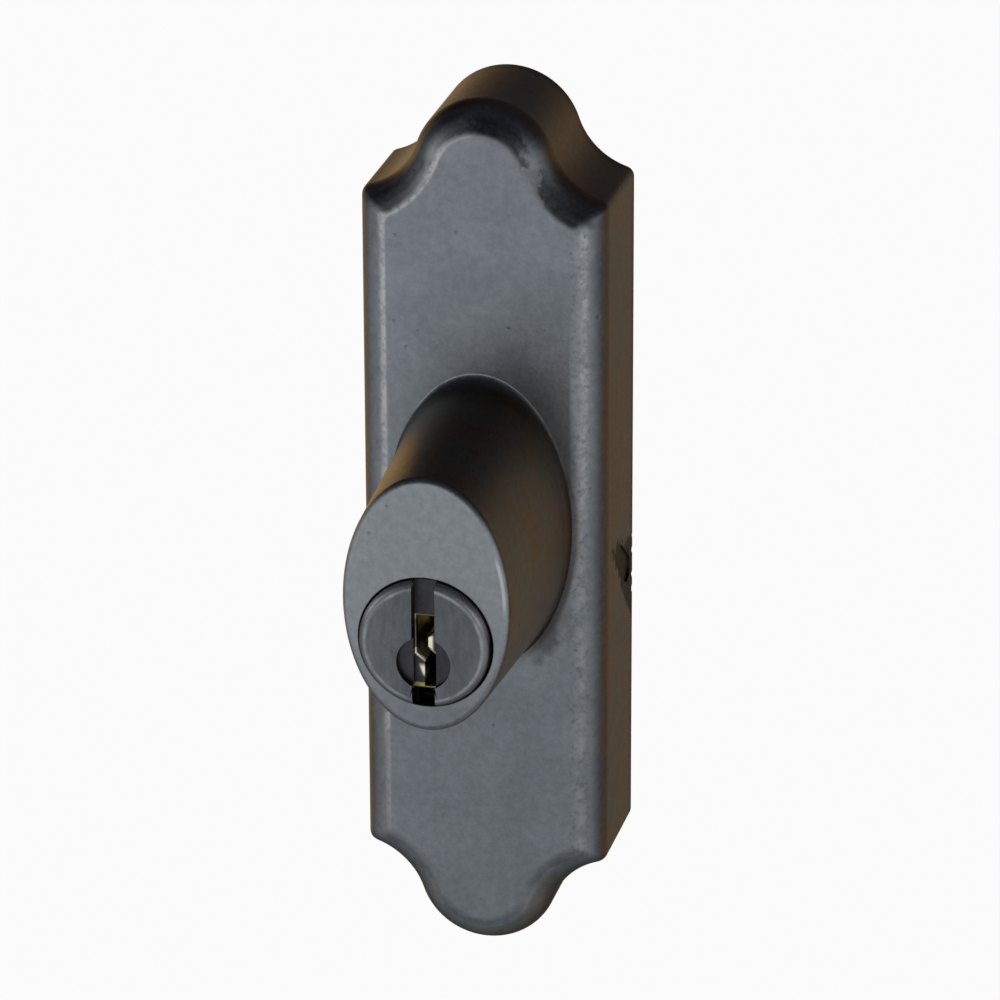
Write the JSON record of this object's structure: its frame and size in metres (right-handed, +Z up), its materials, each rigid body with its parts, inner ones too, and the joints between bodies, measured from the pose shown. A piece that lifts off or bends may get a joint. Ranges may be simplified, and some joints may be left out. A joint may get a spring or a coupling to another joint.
{
  "type": "sliding patio door lock",
  "caption": "Keyed exterior lock for a sliding patio door: cast plate with an oval barrel, a pin tumbler cylinder that turns a flat tailpiece, and tapped posts behind it.",
  "frame": {"origin": "on the door's face, midway between the two mounting posts, at the plate's centre", "axes": "+X to the right seen from outside the door, -Y out of the door towards the key, +Z up"},
  "size_m": [0.0264, 0.0693, 0.096],
  "materials": {
    "bronze_casting": "satin dark oil-rubbed bronze on a zinc casting, worn lighter along its edges",
    "plug_brass": "turned brass, its head darkened like the casting",
    "brass": "turned and milled brass",
    "steel": "zinc-plated steel",
    "spring_steel": "bright spring wire",
    "gasket_rubber": "matt black rubber"
  },
  "bodies": {
    "housing": {"escutcheon": "bronze_casting", "rim_gasket": "gasket_rubber", "mounting_post_upper": "steel", "mounting_post_lower": "steel", "retainer_plate": "steel", "retainer_screws": "steel", "cylinder_body": "brass", "chamber_cover": "brass", "pin_spring_1": "spring_steel", "pin_spring_2": "spring_steel", "pin_spring_3": "spring_steel", "pin_spring_4": "spring_steel", "pin_spring_5": "spring_steel"},
    "plug": {"plug": "plug_brass", "plug_cap": "brass", "cap_pin": "steel", "tailpiece": "steel"},
    "driver_pin_1": {"driver_pin_1": "brass"},
    "key_pin_1": {"key_pin_1": "brass"},
    "driver_pin_2": {"driver_pin_2": "brass"},
    "key_pin_2": {"key_pin_2": "brass"},
    "driver_pin_3": {"driver_pin_3": "brass"},
    "key_pin_3": {"key_pin_3": "brass"},
    "driver_pin_4": {"driver_pin_4": "brass"},
    "key_pin_4": {"key_pin_4": "brass"},
    "driver_pin_5": {"driver_pin_5": "brass"},
    "key_pin_5": {"key_pin_5": "brass"}
  },
  "joints": [
    {"name": "plug_turn", "type": "hinge", "parent": "housing", "child": "plug", "pos_m": [0, 0, -0.0022], "axis": [0, 1, 0], "range_deg": [-90, 90]},
    {"name": "driver_slide_1", "type": "slide", "parent": "housing", "child": "driver_pin_1", "axis": [0, 0, 1], "range_m": [0, 0.0015], "stiffness_N_per_m": 150, "springref_m": -0.002, "deforming": ["pin_spring_1"]},
    {"name": "driver_slide_2", "type": "slide", "parent": "housing", "child": "driver_pin_2", "axis": [0, 0, 1], "range_m": [0, 0.0015], "stiffness_N_per_m": 150, "springref_m": -0.002, "deforming": ["pin_spring_2"]},
    {"name": "driver_slide_3", "type": "slide", "parent": "housing", "child": "driver_pin_3", "axis": [0, 0, 1], "range_m": [0, 0.0015], "stiffness_N_per_m": 150, "springref_m": -0.002, "deforming": ["pin_spring_3"]},
    {"name": "driver_slide_4", "type": "slide", "parent": "housing", "child": "driver_pin_4", "axis": [0, 0, 1], "range_m": [0, 0.0015], "stiffness_N_per_m": 150, "springref_m": -0.002, "deforming": ["pin_spring_4"]},
    {"name": "driver_slide_5", "type": "slide", "parent": "housing", "child": "driver_pin_5", "axis": [0, 0, 1], "range_m": [0, 0.0015], "stiffness_N_per_m": 150, "springref_m": -0.002, "deforming": ["pin_spring_5"]},
    {"name": "key_pin_slide_1", "type": "slide", "parent": "plug", "child": "key_pin_1", "axis": [0, 0, 1], "range_m": [-0.0013, 0]},
    {"name": "key_pin_slide_2", "type": "slide", "parent": "plug", "child": "key_pin_2", "axis": [0, 0, 1], "range_m": [-0.0033, 0]},
    {"name": "key_pin_slide_3", "type": "slide", "parent": "plug", "child": "key_pin_3", "axis": [0, 0, 1], "range_m": [-0.0022, 0]},
    {"name": "key_pin_slide_4", "type": "slide", "parent": "plug", "child": "key_pin_4", "axis": [0, 0, 1], "range_m": [-0.0037, 0]},
    {"name": "key_pin_slide_5", "type": "slide", "parent": "plug", "child": "key_pin_5", "axis": [0, 0, 1], "range_m": [-0.0026, 0]}
  ]
}
